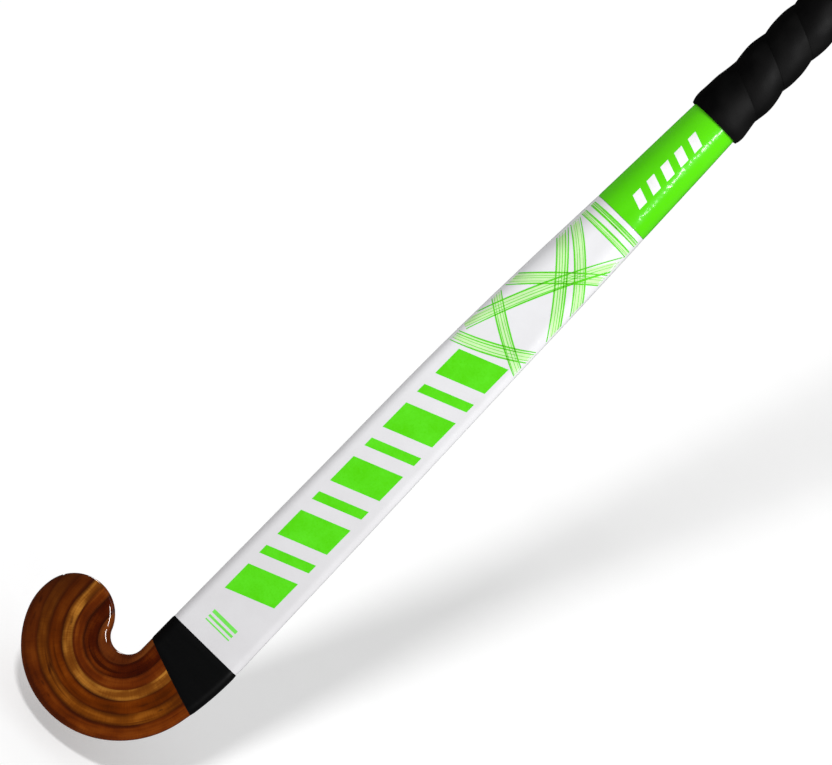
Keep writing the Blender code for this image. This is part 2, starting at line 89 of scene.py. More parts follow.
# Edges of the shaft and handle: height, toe-side edge, heel-side edge.
SHAFT_EDGES = np.array((
    (NECK_Z, TOE_EDGE_X, HEEL_EDGE_X),
    (200.0, -22.3, 23.4),
    (310.0, -22.0, 20.6),
    (370.0, -20.1, 19.2),
    (425.0, -17.7, 17.5),
    (490.0, -15.3, 15.4),
    (530.0, -13.7, 13.7),
    (560.0, -13.3, 13.3),
    (740.0, -13.3, 13.3),
    (921.0, -13.3, 13.3),
))

# D-shaped section of the head and lower shaft, and the oval one of the handle.
FACE_ROUND = 5.0
BACK_ROUND = 20.0
OVAL_RATIO = 0.94
OVAL_STARTS = 300.0
OVAL_ENDS = 470.0

# Bend of the laminae: its centre, how far its sides are drawn in, and the radii of the glue lines straight
# down, after one that is clear inside the hook and before one that is clear outside the heel.
BEND_X = -34.6
BEND_Z = 61.8
BEND_SQUEEZE = 3.0
BEND_SHIFT = 1.0
LAMINA_RADII = (5.0, 17.5, 25.5, 32.0, 38.0, 45.5, 52.0, 75.0)

# Material slot of each CAD node.
SLOTS = {part["node"]: part["material_slot"] for part in frame["record"]["subparts"]}


# ------ shape of the stick


def smooth_step(value, start, end):
    part = np.clip((value - start) / (end - start), 0.0, 1.0)
    return part * part * (3.0 - 2.0 * part)


def shaft_edge(z, column):
    """Toe-side (column 1) or heel-side (column 2) edge at height z, as a cubic through the table."""
    heights = SHAFT_EDGES[:, 0]
    values = SHAFT_EDGES[:, column]
    slopes = np.gradient(values, heights)
    z = np.asarray(z, dtype=float)
    i = np.clip(np.searchsorted(heights, z) - 1, 0, len(heights) - 2)
    run = heights[i + 1] - heights[i]
    t = np.clip((z - heights[i]) / run, 0.0, 1.0)
    keep = (1.0 + 2.0 * t) * (1.0 - t) ** 2 * values[i] + t * t * (3.0 - 2.0 * t) * values[i + 1]
    lean = t * (1.0 - t) ** 2 * slopes[i] - t * t * (1.0 - t) * slopes[i + 1]
    return keep + run * lean


def half_width(z):
    return (shaft_edge(z, 2) - shaft_edge(z, 1)) / 2.0


def arc_points(x, z, heading, radius, turn, steps):
    """Points along an arc from (x, z); a positive turn is to the left. Returns them and the heading."""
    side = math.copysign(1.0, turn)
    centre_x = x - side * radius * math.sin(heading)
    centre_z = z + side * radius * math.cos(heading)
    headings = [heading + turn * i / steps for i in range(1, steps + 1)]
    points = [(centre_x + side * radius * math.sin(h), centre_z - side * radius * math.cos(h))
              for h in headings]
    return points, headings[-1]


def head_outline():
    """Heel edge, underside, toe and hook as one line, from the neck's heel side to its toe side."""
    points = [(HEEL_EDGE_X, NECK_Z)]
    heading = math.radians(EDGE_LEAN_DEG - 90.0)
    for radius, turn in HEAD_ARCS:
        arc, heading = arc_points(*points[-1], heading, radius, -math.radians(turn), max(12, round(turn)))
        points += arc
    upwards = math.radians(-270.0)  # as reached by turning right
    hook_radius = (TOE_EDGE_X - points[-1][0]) / (1.0 - math.sin(heading))
    arc, _ = arc_points(*points[-1], heading, hook_radius, upwards - heading, HOOK_STEPS)
    return points + arc


def stick_outline():
    """Outline of the lower half of the stick as seen on its playing face, open at the top."""
    heights = np.arange(NECK_Z + OUTLINE_STEP, OUTLINE_TOP, OUTLINE_STEP)
    heel_edge = [(float(shaft_edge(z, 2)), z) for z in heights[::-1]]
    toe_edge = [(float(shaft_edge(z, 1)), z) for z in heights]
    return np.array(heel_edge + head_outline() + toe_edge)


OUTLINE = stick_outline()


def edge_distance(points):
    """Distance from each (x, z) point to the nearest edge of the outline."""
    start = OUTLINE[:-1]
    step = OUTLINE[1:] - start
    length = (step * step).sum(axis=1)
    at_once = 2000
    out = np.empty(len(points))
    for first in range(0, len(points), at_once):
        offset = points[first:first + at_once, None, :] - start[None]
        t = np.clip((offset * step).sum(axis=2) / length, 0.0, 1.0)
        gap = offset - t[..., None] * step
        out[first:first + at_once] = np.sqrt((gap * gap).sum(axis=2)).min(axis=1)
    return out


def ray_span(origin, direction):
    """Nearest and farthest distances at which a ray in the XZ plane meets the outline."""
    start = OUTLINE[:-1]
    step = OUTLINE[1:] - start
    cross = direction[0] * step[:, 1] - direction[1] * step[:, 0]
    cross = np.where(np.abs(cross) < TINY, TINY, cross)
    offset = start - origin
    along = (offset[:, 0] * step[:, 1] - offset[:, 1] * step[:, 0]) / cross
    part = (offset[:, 0] * direction[1] - offset[:, 1] * direction[0]) / cross
    hits = along[(along > 0.0) & (part >= 0.0) & (part <= 1.0)]
    return hits.min(), hits.max()


def surface_y(z, inward, back):
    """Height of the face or the back at a distance inward from the outline's edge."""
    oval = smooth_step(z, OVAL_STARTS, OVAL_ENDS)
    half = half_width(np.maximum(z, NECK_Z))
    widest_y = (1.0 - oval) * (FACE_Y + FACE_ROUND)
    if back:
        reach = (1.0 - oval) * (BACK_Y - widest_y) + oval * OVAL_RATIO * half
        roll = (1.0 - oval) * BACK_ROUND + oval * half
    else:
        reach = -((1.0 - oval) * FACE_ROUND + oval * OVAL_RATIO * half)
        roll = (1.0 - oval) * FACE_ROUND + oval * half
    part = np.clip(inward / roll, 0.0, 1.0)
    return widest_y + reach * np.sqrt(1.0 - (1.0 - part) ** 2)


def shaft_face_y(x, z):
    """Height of the playing side of the shaft over (x, z), above the neck."""
    inward = np.minimum(x - shaft_edge(z, 1), shaft_edge(z, 2) - x)
    return surface_y(z, np.maximum(inward, 0.0), back=False)


# ------ mesh helpers


MERGE_M = 1e-6
SLIVER_M = 1e-7
SHARP_DEG = 40.0
RING_POINTS = 112
LATHE_STEPS = 128


def link_object(name, data):
    """New object in the scene for a mesh, light or camera."""
    obj = bpy.data.objects.new(name, data)
    bpy.context.scene.collection.objects.link(obj)
    return obj


def cut_level(bm, height, upwards):
    """Cut a mesh off above or below a height in millimetres and close the cut."""
    everything = bm.verts[:] + bm.edges[:] + bm.faces[:]
    cut = bmesh.ops.bisect_plane(bm, geom=everything, dist=MERGE_M, plane_co=(0.0, 0.0, height * MM),
                                 plane_no=(0.0, 0.0, 1.0 if upwards else -1.0), clear_outer=True)
    rim = [edge for edge in cut["geom_cut"] if isinstance(edge, bmesh.types.BMEdge)]
    bmesh.ops.holes_fill(bm, edges=rim, sides=0)


def build_mesh(name, vertices, faces, grain=None, sharp_deg=SHARP_DEG, ends=None):
    """Closed mesh object from vertices in millimetres, with an optional per-vertex grain vector.

    The mesh is kept between the two heights in ends, where they are given.
    """
    mesh = bpy.data.meshes.new(name)
    placed = np.asarray(vertices) + (HANDLE_X, 0.0, 0.0)
    mesh.from_pydata((placed * MM).tolist(), [], faces)
    if grain is not None:
        layer = mesh.attributes.new("grain", "FLOAT_VECTOR", "POINT")
        layer.data.foreach_set("vector", (np.asarray(grain) * MM).astype(np.float32).ravel())
    bm = bmesh.new()
    bm.from_mesh(mesh)
    bmesh.ops.remove_doubles(bm, verts=bm.verts, dist=MERGE_M)
    bmesh.ops.dissolve_degenerate(bm, edges=bm.edges, dist=SLIVER_M)
    bmesh.ops.delete(bm, geom=[edge for edge in bm.edges if edge.is_wire], context="EDGES")
    if ends:
        cut_level(bm, ends[0], upwards=False)
        cut_level(bm, ends[1], upwards=True)
    bmesh.ops.recalc_face_normals(bm, faces=bm.faces)
    bm.to_mesh(mesh)
    bm.free()
    mesh.shade_smooth()
    mesh.set_sharp_from_angle(angle=math.radians(sharp_deg))
    return link_object(name, mesh)


def quads(rows, columns, first=0, around=False):
    """Quads over a grid of vertices numbered row by row, closed round each row if asked."""
    faces = []
    for r in range(rows - 1):
        for c in range(columns if around else columns - 1):
            d = (c + 1) % columns
            a = first + r * columns
            faces.append((a + c, a + d, a + columns + d, a + columns + c))
    return faces


def rim_quads(rows, columns, offset):
    """Walls between the borders of two equal grids, the second one starting at offset."""
    border = [(0, c) for c in range(columns)]
    border += [(r, columns - 1) for r in range(1, rows)]
    border += [(rows - 1, c) for c in range(columns - 2, -1, -1)]
    border += [(r, 0) for r in range(rows - 2, 0, -1)]
    ids = [r * columns + c for r, c in border]
    return [(a, b, b + offset, a + offset) for a, b in zip(ids, ids[1:] + ids[:1])]


def shell(name, outer, inner):
    """Closed tube between an outer and an inner grid of rings."""
    rows, columns, _ = outer.shape
    count = rows * columns
    faces = quads(rows, columns, around=True) + quads(rows, columns, count, around=True)
    for r in (0, rows - 1):
        ids = [r * columns + c for c in range(columns)]
        faces += [(a, b, b + count, a + count) for a, b in zip(ids, ids[1:] + ids[:1])]
    return build_mesh(name, np.concatenate([outer.reshape(-1, 3), inner.reshape(-1, 3)]), faces)


def lathe(name, profile, seam_step=0.0):
    """Closed profile of (radius, z) turned round the oval handle; seam_step grows the radius once round."""
    radius, z = np.array(profile).T
    rings = []
    for step in range(LATHE_STEPS):
        angle = 2.0 * math.pi * step / LATHE_STEPS
        grown = radius * (1.0 + seam_step * step / LATHE_STEPS)
        rings.append(np.stack([grown * math.cos(angle), grown * OVAL_RATIO * math.sin(angle), z], axis=1))
    grid = np.array(rings + rings[:1])
    return build_mesh(name, grid.reshape(-1, 3), quads(*grid.shape[:2], around=True))


def round_section():
    """Round a section, over the face and back under: share of the way across, and whether on the back."""
    half_count = RING_POINTS // 2
    turn = np.pi * np.arange(half_count + 1) / half_count
    across = np.concatenate([turn, turn[1:-1][::-1]])
    back = np.arange(len(across)) > half_count
    return (1.0 - np.cos(across)) / 2.0, back


def shaft_ring(height, depth):
    """Closed ring round the shaft at a height, at a depth under its surface."""
    share, back = round_section()
    z = np.full(len(share), height)
    toe = shaft_edge(z, 1)
    heel = shaft_edge(z, 2)
    x = toe + (heel - toe) * share
    return section_ring(x, z, np.minimum(x - toe, heel - x), back, depth)


def section_ring(x, z, inward, back, depth):
    """Ring through the face and the back over (x, z), at a depth under their surface."""
    y = np.where(back, surface_y(z, inward, True), surface_y(z, inward, False))
    return push_in(np.stack([x, y, z], axis=1), depth)


def push_in(ring, depth):
    """Ring moved inward along its own normals in the XY plane by depth."""
    ahead = np.roll(ring, -1, axis=0) - np.roll(ring, 1, axis=0)
    normal = np.stack([-ahead[:, 1], ahead[:, 0]], axis=1)
    normal /= np.maximum(np.linalg.norm(normal, axis=1), TINY)[:, None]
    moved = ring.copy()
    moved[:, :2] += normal * depth
    return moved


def place(obj, material, slot, *nodes):
    """Give a piece its material and tie it to the frame."""
    obj.data.materials.append(material)
    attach(obj, "root")
    if nodes:
        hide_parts(*nodes)
    return obj


# ------ material helpers


class Shader:
    """A Principled material whose nodes are added and linked by short calls.

    Scales and stretches are per metre, so 1000 gives detail about a millimetre wide.
    """

    def __init__(self, name, **settings):
        self.material = bpy.data.materials.new(name)
        self.material.use_nodes = True
        self.tree = self.material.node_tree
        self.principled = self.tree.nodes["Principled BSDF"]
        self.set(**settings)

    def add(self, kind, inputs=None, **settings):
        node = self.tree.nodes.new(kind)
        for key, value in settings.items():
            setattr(node, key, value)
        for key, value in (inputs or {}).items():
            self.feed(node.inputs[key], value)
        return node

    def feed(self, socket, value):
        if isinstance(value, bpy.types.NodeSocket):
            self.tree.links.new(value, socket)
        else:
            socket.default_value = value

    def noise(self, vector, scale, detail=3.0, roughness=0.5):
        sizes = {"Vector": vector, "Scale": scale, "Detail": detail, "Roughness": roughness}
        return self.add("ShaderNodeTexNoise", sizes).outputs["Fac"]

    def streaks(self, vector, stretch, detail=3.0, roughness=0.5):
        """Noise with its own scale along each axis."""
        mapped = self.add("ShaderNodeMapping", {"Vector": vector, "Scale": stretch}).outputs["Vector"]
        return self.noise(mapped, 1.0, detail, roughness)

    def weave(self, vector, scale, distortion=0.0):
        """Crossed threads of a cloth, across X and up Z."""
        sizes = {"Vector": vector, "Scale": scale, "Distortion": distortion}
        waves = [self.add("ShaderNodeTexWave", sizes, bands_direction=axis) for axis in "XZ"]
        return self.math("MULTIPLY", *(wave.outputs["Fac"] for wave in waves))

    def math(self, operation, a, b=0.0):
        return self.add("ShaderNodeMath", {0: a, 1: b}, operation=operation).outputs[0]

    def remap(self, value, low, high, to_low=0.0, to_high=1.0):
        ends = {"From Min": low, "From Max": high, "To Min": to_low, "To Max": to_high}
        return self.add("ShaderNodeMapRange", {"Value": value, **ends}).outputs["Result"]

    def mix(self, factor, a, b):
        node = self.add("ShaderNodeMix", data_type="RGBA")
        self.feed(node.inputs["Factor"], factor)
        self.feed(node.inputs[6], a if isinstance(a, bpy.types.NodeSocket) else (*a, 1.0))
        self.feed(node.inputs[7], b if isinstance(b, bpy.types.NodeSocket) else (*b, 1.0))
        return node.outputs[2]

    def ramp(self, factor, *stops):
        """Colour ramp through (place, colour) stops."""
        node = self.add("ShaderNodeValToRGB", {"Fac": factor})
        elements = node.color_ramp.elements
        while len(elements) < len(stops):
            elements.new(0.5)
        for element, (place_at, colour) in zip(elements, stops):
            element.position = place_at
            element.color = (*colour, 1.0)
        return node.outputs["Color"]

    def blend(self, *weighted):
        """Weighted sum of (weight, value) pairs."""
        total = 0.0
        for weight, value in weighted:
            total = self.math("ADD", self.math("MULTIPLY", value, weight), total)
        return total

    def bump(self, height, strength, distance_mm):
        sizes = {"Height": height, "Strength": strength, "Distance": distance_mm * MM}
        return self.add("ShaderNodeBump", sizes).outputs["Normal"]

    def set(self, **sockets):
        for key, value in sockets.items():
            self.feed(self.principled.inputs[key.replace("_", " ")], value)
        return self.material


def position(shader):
    return shader.add("ShaderNodeNewGeometry").outputs["Position"]


# Dark and light tone of each surface.
BAND_BLACK = ((0.0008, 0.0008, 0.001), (0.0026, 0.0026, 0.003))
# The films' dark tones are partly painted shade, laid on low down each sleeve.
FILM_WHITE = ((0.70, 0.69, 0.705), (0.80, 0.80, 0.82))
FILM_GREEN = ((0.088, 0.67, 0.001), (0.105, 0.72, 0.002))
GRIP_BLACK = ((0.0012, 0.0012, 0.0013), (0.0032, 0.0030, 0.0030))
TAPE_BLACK = ((0.003, 0.003, 0.0034), (0.010, 0.010, 0.0105))
CAP_BLACK = ((0.004, 0.004, 0.0043), (0.022, 0.0215, 0.0205))
CANE = ((0.36, 0.22, 0.09), (0.62, 0.45, 0.22))
STRIP_RUBBER = ((0.012, 0.012, 0.012), (0.03, 0.03, 0.03))
GLASS_CLOTH = ((0.55, 0.58, 0.50), (0.78, 0.80, 0.74))
UNDERWRAP = ((0.06, 0.06, 0.06), (0.14, 0.14, 0.14))
PAPER_WHITE = ((0.88, 0.88, 0.88), (0.91, 0.91, 0.91))

# Inks.
BAR_GREEN = FILM_GREEN[0]
STRIPE_GREEN = (0.16, 0.72, 0.08)
WASH_GREEN = (0.54, 0.81, 0.40)
LINE_GREEN = (0.10, 0.62, 0.01)
DASH_WHITE = (0.80, 0.80, 0.80)


# ------ wood


# Dark, middle and light tone of each lamina from the hook outward, and how far it darkens towards the toe.
LAMINA_LOOKS = (
    ((0.064, 0.010, 0.001), (0.140, 0.030, 0.004), (0.245, 0.070, 0.012), 0.0),
    ((0.026, 0.002, 0.000), (0.056, 0.006, 0.000), (0.135, 0.024, 0.001), 0.0),
    ((0.060, 0.009, 0.001), (0.118, 0.019, 0.001), (0.215, 0.050, 0.004), 0.1),
    ((0.120, 0.028, 0.002), (0.190, 0.056, 0.005), (0.470, 0.185, 0.024), 0.0),
    ((0.066, 0.011, 0.000), (0.124, 0.021, 0.000), (0.205, 0.044, 0.002), 0.65),
    ((0.085, 0.018, 0.001), (0.170, 0.042, 0.002), (0.310, 0.095, 0.008), 0.8),
    ((0.060, 0.009, 0.001), (0.124, 0.021, 0.001), (0.200, 0.043, 0.003), 0.85),
)
GLUE_SHADE = (0.0, 0.9, 0.9, 0.5, 0.9, 0.65, 0.7, 0.0)  # one for each of LAMINA_RADII
GLUE_COLOUR = (0.026, 0.004, 0.001)
TOE_COLOUR = (0.040, 0.006, 0.001)
TOE_DARKENS = (0.5, 0.97)  # shares of a lamina's length

# Rows of a lamina's mesh: across it, down the neck, round the bend and up the toe.
LAMINA_COLUMNS = 22
LAMINA_TOP = 82.0
NECK_ROWS = 13
BEND_STEP_DEG = 1.5
TOE_ROWS = 16
THINNEST_ROW = 0.25
TOE_PROBE_Z = 30.0


def glue_shadow(shader, radius, at, strength, uneven):
    """Darkening beside one glue line, soft, with a width and depth that follow a noise."""
    gap = shader.math("ABSOLUTE", shader.math("SUBTRACT", radius, at * MM))
    width = shader.remap(uneven, 0.3, 0.7, 0.8 * MM, 2.2 * MM)
    fade = shader.remap(shader.math("DIVIDE", gap, width), 0.08, 1.0, 1.0, 0.0)
    depth = shader.remap(uneven, 0.38, 0.58, 0.45 * strength, strength)
    return shader.math("MULTIPLY", fade, depth)


def wood_material(index, inner, outer, length):
    """Lacquered mulberry: long fibre streaks, cross figure, a few knots and dark glue lines."""
    dark, middle, light, toe_shade = LAMINA_LOOKS[index]
    shader = Shader(f"lacquered_wood_{index + 1}", Coat_Weight=1.0, Coat_Roughness=0.04, Coat_IOR=1.5,
                    Specular_IOR_Level=0.0)
    grain = shader.add("ShaderNodeAttribute", attribute_name="grain").outputs["Vector"]
    parts = shader.add("ShaderNodeSeparateXYZ", {"Vector": grain})
    along = parts.outputs["X"]
    radius = parts.outputs["Y"]
    rings = shader.streaks(grain, (7.0, 420.0, 140.0), 2.0)
    fibres = shader.streaks(grain, (22.0, 1900.0, 600.0), 4.0, 0.6)
    patches = shader.streaks(grain, (42.0, 110.0, 60.0), 2.0)
    figure = shader.streaks(grain, (1500.0, 110.0, 110.0), 2.0)
    tone = shader.blend((0.28, rings), (0.10, fibres), (0.80, patches), (0.12, figure))
    colour = shader.ramp(shader.remap(tone, 0.49, 0.82), (0.0, dark), (0.5, middle), (1.0, light))
    veins = shader.streaks(grain, (17.0, 430.0, 180.0), 1.0)
    colour = shader.mix(shader.remap(veins, 0.26, 0.36, 0.8, 0.0), colour, dark)
    knots = shader.streaks(grain, (70.0, 210.0, 210.0), 1.0)
    colour = shader.mix(shader.remap(knots, 0.72, 0.80, 0.0, 0.8), colour, GLUE_COLOUR)
    uneven = shader.streaks(grain, (45.0, 30.0, 30.0), 2.0)
    for at, strength in ((inner, GLUE_SHADE[index]), (outer, GLUE_SHADE[index + 1])):
        colour = shader.mix(glue_shadow(shader, radius, at, strength, uneven), colour, GLUE_COLOUR)
    dark_from, dark_to = (share * length * MM for share in TOE_DARKENS)
    toe = shader.remap(along, dark_from, dark_to, 0.0, toe_shade)
    colour = shader.mix(toe, colour, TOE_COLOUR)
    ripple = shader.streaks(grain, (90.0, 130.0, 130.0), 2.0)
    return shader.set(
        Base_Color=colour,
        Roughness=shader.remap(fibres, 0.3, 0.7, 0.4, 0.6),
        Normal=shader.bump(fibres, 0.3, 0.06),
        Coat_Normal=shader.bump(ripple, 0.5, 0.12),
    )


def toe_top(x):
    """Height of the toe's upper edge above x."""
    return TOE_PROBE_Z + ray_span(np.array((x, TOE_PROBE_Z)), (0.0, 1.0))[0]


def drawn_in(angle):
    """How far the laminae are drawn towards the bend's centre at an angle round it."""
    return BEND_SQUEEZE * math.cos(angle) ** 2 - BEND_SHIFT * math.cos(angle)


def lamina_rows(inner, outer):
    """Rows of a lamina from the neck to the toe: plan points, radii before drawing in, distance along."""
    share = (1.0 - np.cos(np.pi * np.arange(LAMINA_COLUMNS + 1) / LAMINA_COLUMNS)) / 2.0
    mean = (inner + outer) / 2.0
    neck_heights = np.linspace(LAMINA_TOP, BEND_Z, NECK_ROWS + 1)[:-1]
    stations = [((BEND_X, z), 0.0, BEND_Z - z) for z in neck_heights]
    for step in range(round(180.0 / BEND_STEP_DEG) + 1):
        angle = math.radians(step * BEND_STEP_DEG)
        stations.append(((BEND_X, BEND_Z), angle, angle * mean))
    rows = []
    for origin, angle, along in stations:
        direction = np.array((math.cos(angle), -math.sin(angle)))
        near, far = ray_span(np.array(origin), direction)
        low = max(inner - drawn_in(angle), near)
        high = min(outer - drawn_in(angle), far)
        if high - low < THINNEST_ROW:
            return rows
        reach = low + share * (high - low)
        plan = np.array(origin) + reach[:, None] * direction
        rows.append((plan, reach + drawn_in(angle), along))
    last_plan, radii, along = rows[-1]
    tops = np.array([max(toe_top(x), BEND_Z) for x in last_plan[:, 0]])
    for i in range(1, TOE_ROWS + 1):
        rise = math.sin(math.pi / 2.0 * i / TOE_ROWS) * (tops - BEND_Z)
        plan = np.stack([last_plan[:, 0], BEND_Z + rise], axis=1)
        rows.append((plan, radii, along + float(rise.mean())))
    return rows


def make_lamina(index):
    inner, outer = LAMINA_RADII[index:index + 2]
    rows = lamina_rows(inner, outer)
    plan = np.array([row[0] for row in rows])
    count, columns, _ = plan.shape
    flat = plan.reshape(-1, 2)
    x, z = flat.T
    inward = edge_distance(flat)
    radii = np.concatenate([row[1] for row in rows])
    along = np.repeat([row[2] for row in rows], columns)
    sides = [np.stack([x, surface_y(z, inward, back), z], axis=1) for back in (False, True)]
    vertices = np.concatenate(sides)
    grain = np.stack([np.tile(along, 2), np.tile(radii, 2), vertices[:, 1]], axis=1)
    total = count * columns
    faces = quads(count, columns) + quads(count, columns, total) + rim_quads(count, columns, total)
    obj = build_mesh(f"bent_lamina_{index + 1}", vertices, faces, grain)
    material = wood_material(index, inner, outer, rows[-1][2])
    node = f"head_lamina_{index + 1}"
    return place(obj, material, SLOTS[node], node)


# ------ neck band and sleeves


# Reinforcing band: height of its lower edge at x = 0, and how far it stands proud and reaches in.
BAND_LOW_Z = 62.0
BAND_PROUD = 0.25
BAND_DEPTH = 0.35
BAND_SOFT_EDGE = 0.2
BAND_RINGS = 13
HEEL_FROM_Z = 20.0

SLEEVE_STEP = 3.0
SLEEVE_DEPTH = 0.45
SLEEVE_SOFT_EDGE = 0.12
# Heights over which the white film's colour is painted paler upward: painted light, darker towards the
# head.
WHITE_PAINTED_LIGHT_Z = (100.0, 340.0)


def band_material():
    shader = Shader("black_band", Coat_Weight=0.25, Coat_Roughness=0.3, Specular_IOR_Level=0.2)
    where = position(shader)
    # The crease noise bumps the surface and also darkens the colour in its hollows as painted shade.
    creases_and_painted_shade = shader.streaks(where, (25.0, 25.0, 420.0), 4.0, 0.6)
    fine = shader.noise(where, 2600.0, 2.0)
    return shader.set(
        Base_Color=shader.mix(creases_and_painted_shade, *BAND_BLACK),
        Roughness=shader.remap(fine, 0.3, 0.7, 0.34, 0.5),
        Normal=shader.bump(creases_and_painted_shade, 0.35, 0.15),
    )


def band_low_edge(x):
    """Height of the reinforcing band's slanted lower edge."""
    return BAND_LOW_Z - 0.33 * x + 0.0012 * x * x


def heel_edge_x(z):
    """The outline's heel-side edge at a height beside the neck or in the bend."""
    if z >= BEND_Z:
        return BEND_X + ray_span(np.array((BEND_X, z)), (1.0, 0.0))[1]
    side = OUTLINE[(OUTLINE[:, 0] > 0.0) & (OUTLINE[:, 1] > HEEL_FROM_Z)]
    order = np.argsort(side[:, 1])
    return float(np.interp(z, side[order, 1], side[order, 0]))


def band_ring(height_share, depth):
    """Ring of the neck band, from its slanted lower edge (0) to its level upper edge (1)."""
    share, back = round_section()
    low = band_low_edge(TOE_EDGE_X + share * (HEEL_EDGE_X - TOE_EDGE_X))
    z = low + height_share * (BAND_TOP - low)
    heel = np.array([heel_edge_x(height) for height in z])
    x = TOE_EDGE_X + (heel - TOE_EDGE_X) * share
    inward = edge_distance(np.stack([x, z], axis=1))
    inward[(share < TINY) | (share > 1.0 - TINY)] = 0.0
    return section_ring(x, z, inward, back, depth)


def make_band():
    shares = np.linspace(0.0, 1.0, BAND_RINGS)
    soft = [BAND_SOFT_EDGE if share in (0.0, 1.0) else 0.0 for share in shares]
    outer = np.array([band_ring(share, edge - BAND_PROUD) for share, edge in zip(shares, soft)])
    inner = np.array([band_ring(share, BAND_DEPTH) for share in shares])
    obj = shell("black_neck_band", outer, inner)
    return place(obj, band_material(), "band_black", "neck_band")


def film_material(name, tones, heights, roughness):
    """Printed film over glass cloth: faint blotches, a fine weave, a glossy skin, and painted light that
    makes it darker towards its lower end and paler up the stick.
    """
    shader = Shader(name, Coat_Weight=0.8, Coat_Roughness=0.15, Specular_IOR_Level=0.1)
    where = position(shader)
    height_m = shader.add("ShaderNodeSeparateXYZ", {"Vector": where}).outputs["Z"]
    # Painted light: the colour grows paler between the two heights, standing in for light falling off
    # towards the head.
    painted_light_climb = shader.remap(height_m, heights[0] * MM, heights[1] * MM)
    blotches = shader.noise(where, 60.0, 3.0, 0.6)
    tone = shader.blend((0.75, painted_light_climb), (0.25, shader.remap(blotches, 0.35, 0.65)))
    ripples = shader.noise(where, 45.0, 2.0)
    waves = shader.noise(where, 110.0, 2.0)
    height = shader.blend((1.0, ripples), (0.12, shader.weave(where, 260.0, 0.6)))
    return shader.set(
        Base_Color=shader.mix(tone, *tones),
        Roughness=shader.remap(blotches, 0.3, 0.7, roughness - 0.05, roughness + 0.08),
        Normal=shader.bump(height, 0.12, 0.4),
        Coat_Normal=shader.bump(waves, 1.0, 0.8),
    )


def make_sleeve(name, low, high, material, slot, node):
    """Fine tube over the shaft between two heights, with softened ends."""
    heights = np.linspace(low, high, round((high - low) / SLEEVE_STEP))
    depths = np.zeros(len(heights))
    depths[[0, -1]] = SLEEVE_SOFT_EDGE
    outer = np.array([shaft_ring(z, depth) for z, depth in zip(heights, depths)])
    inner = np.array([shaft_ring(z, SLEEVE_DEPTH) for z in heights])
    return place(shell(name, outer, inner), material, slot, node)


# ------ printed graphics


PRINT_HEIGHT = 0.035
PRINT_THICKNESS = 0.03
SHAFT_MARGIN = 0.35
STRIP_STEPS = 40
STRIP_SAMPLES = 400

# Slanted bars up the white sleeve, wide and narrow in turn, rising towards the heel.
BARS_FROM_Z = 119.0
BAR_HEIGHTS = (19.0, 6.0) * 4 + (19.0,)
BAR_GAP = 8.5
BAR_ENDS_X = (-13.5, 14.5)
BAR_RISE = 11.0

STRIPE_ENDS_X = (-9.0, 9.0)
STRIPES = ((99.0, 0.8), (101.4, 1.4), (104.4, 2.2))  # height on the shaft, width

# Crossed bands below the green sleeve: start, end, bow, width.
RIBBONS = (
    ((-23.0, 309.0), (22.0, 333.0), -2.0, 6.5),
    ((-23.0, 345.0), (22.0, 318.0), -1.5, 6.0),
    ((-22.0, 352.0), (21.0, 392.0), 1.2, 6.5),
    ((-21.0, 396.0), (22.0, 344.0), 2.0, 6.5),
    ((-21.0, 318.0), (20.0, 406.0), 2.5, 6.0),
    ((22.0, 362.0), (-19.0, 404.0), -3.0, 6.0),
    ((-18.6, 409.5), (18.4, 409.5), 0.3, 3.4),
    ((-18.4, 416.5), (18.2, 416.5), 0.3, 3.0),
)
RIBBON_LINES = 5
RIBBON_SEED = 11
EDGE_LINE_WIDTH = 0.95
INNER_LINE_WIDTHS = (0.3, 0.4, 0.7)
LINE_SHIFT = 0.3
LINE_DRIFT = 0.6
STRIP_END_WIDTH = 0.55  # share of the width in the middle
WASH_SPREAD = 1.05
WASH_LAYER = 0.003

DASH_COUNT = 5
DASHES_FROM_Z = 432.0
DASH_PITCH = 11.0
DASH_ENDS_X = (-4.2, 4.2)
DASH_DROP = 3.0
DASH_WIDTH = 6.0


def ink_material(name, colour):
    shader = Shader(name, Coat_Weight=0.6, Coat_Roughness=0.12, Specular_IOR_Level=0.1)
    where = position(shader)
    mottle = shader.noise(where, 900.0, 3.0, 0.6)
    patches = shader.noise(where, 90.0, 2.0)
    pale = tuple(min(1.0, c * 1.12 + 0.012) for c in colour)
    tone = shader.blend((0.4, mottle), (0.6, patches))
    return shader.set(
        Base_Color=shader.mix(shader.remap(tone, 0.35, 0.65), colour, pale),
        Roughness=shader.remap(mottle, 0.3, 0.7, 0.26, 0.36),
        Normal=shader.bump(mottle, 0.08, 0.05),
    )


def print_grids(name, grids, material, slot, layer=0.0, height=PRINT_HEIGHT):
    """One piece of thin ink patches, each a grid of (x, z) points; layer lifts each one above the last."""
    vertices = []
    faces = []
    for i, plan in enumerate(grids):
        rows, columns, _ = plan.shape
        x, z = plan.reshape(-1, 2).T
        y = shaft_face_y(x, z)
        first = len(vertices)
        total = rows * columns
        top = height + layer * i
        for lift in (top, top - PRINT_THICKNESS):
            vertices += np.stack([x, y - lift, z], axis=1).tolist()
        faces += quads(rows, columns, first) + quads(rows, columns, first + total)
        faces += [tuple(first + corner for corner in face) for face in rim_quads(rows, columns, total)]
    return place(build_mesh(name, vertices, faces), material, slot)


def slanted_bar(ends_x, start_z, rise, height, columns=24, rows=6):
    """Parallelogram across the shaft: its lower edge starts at start_z and climbs by rise."""
    across, up = np.meshgrid(np.linspace(0.0, 1.0, columns), np.linspace(0.0, 1.0, rows))
    x = ends_x[0] + (ends_x[1] - ends_x[0]) * across
    return np.stack([x, start_z + rise * across + height * up], axis=-1)


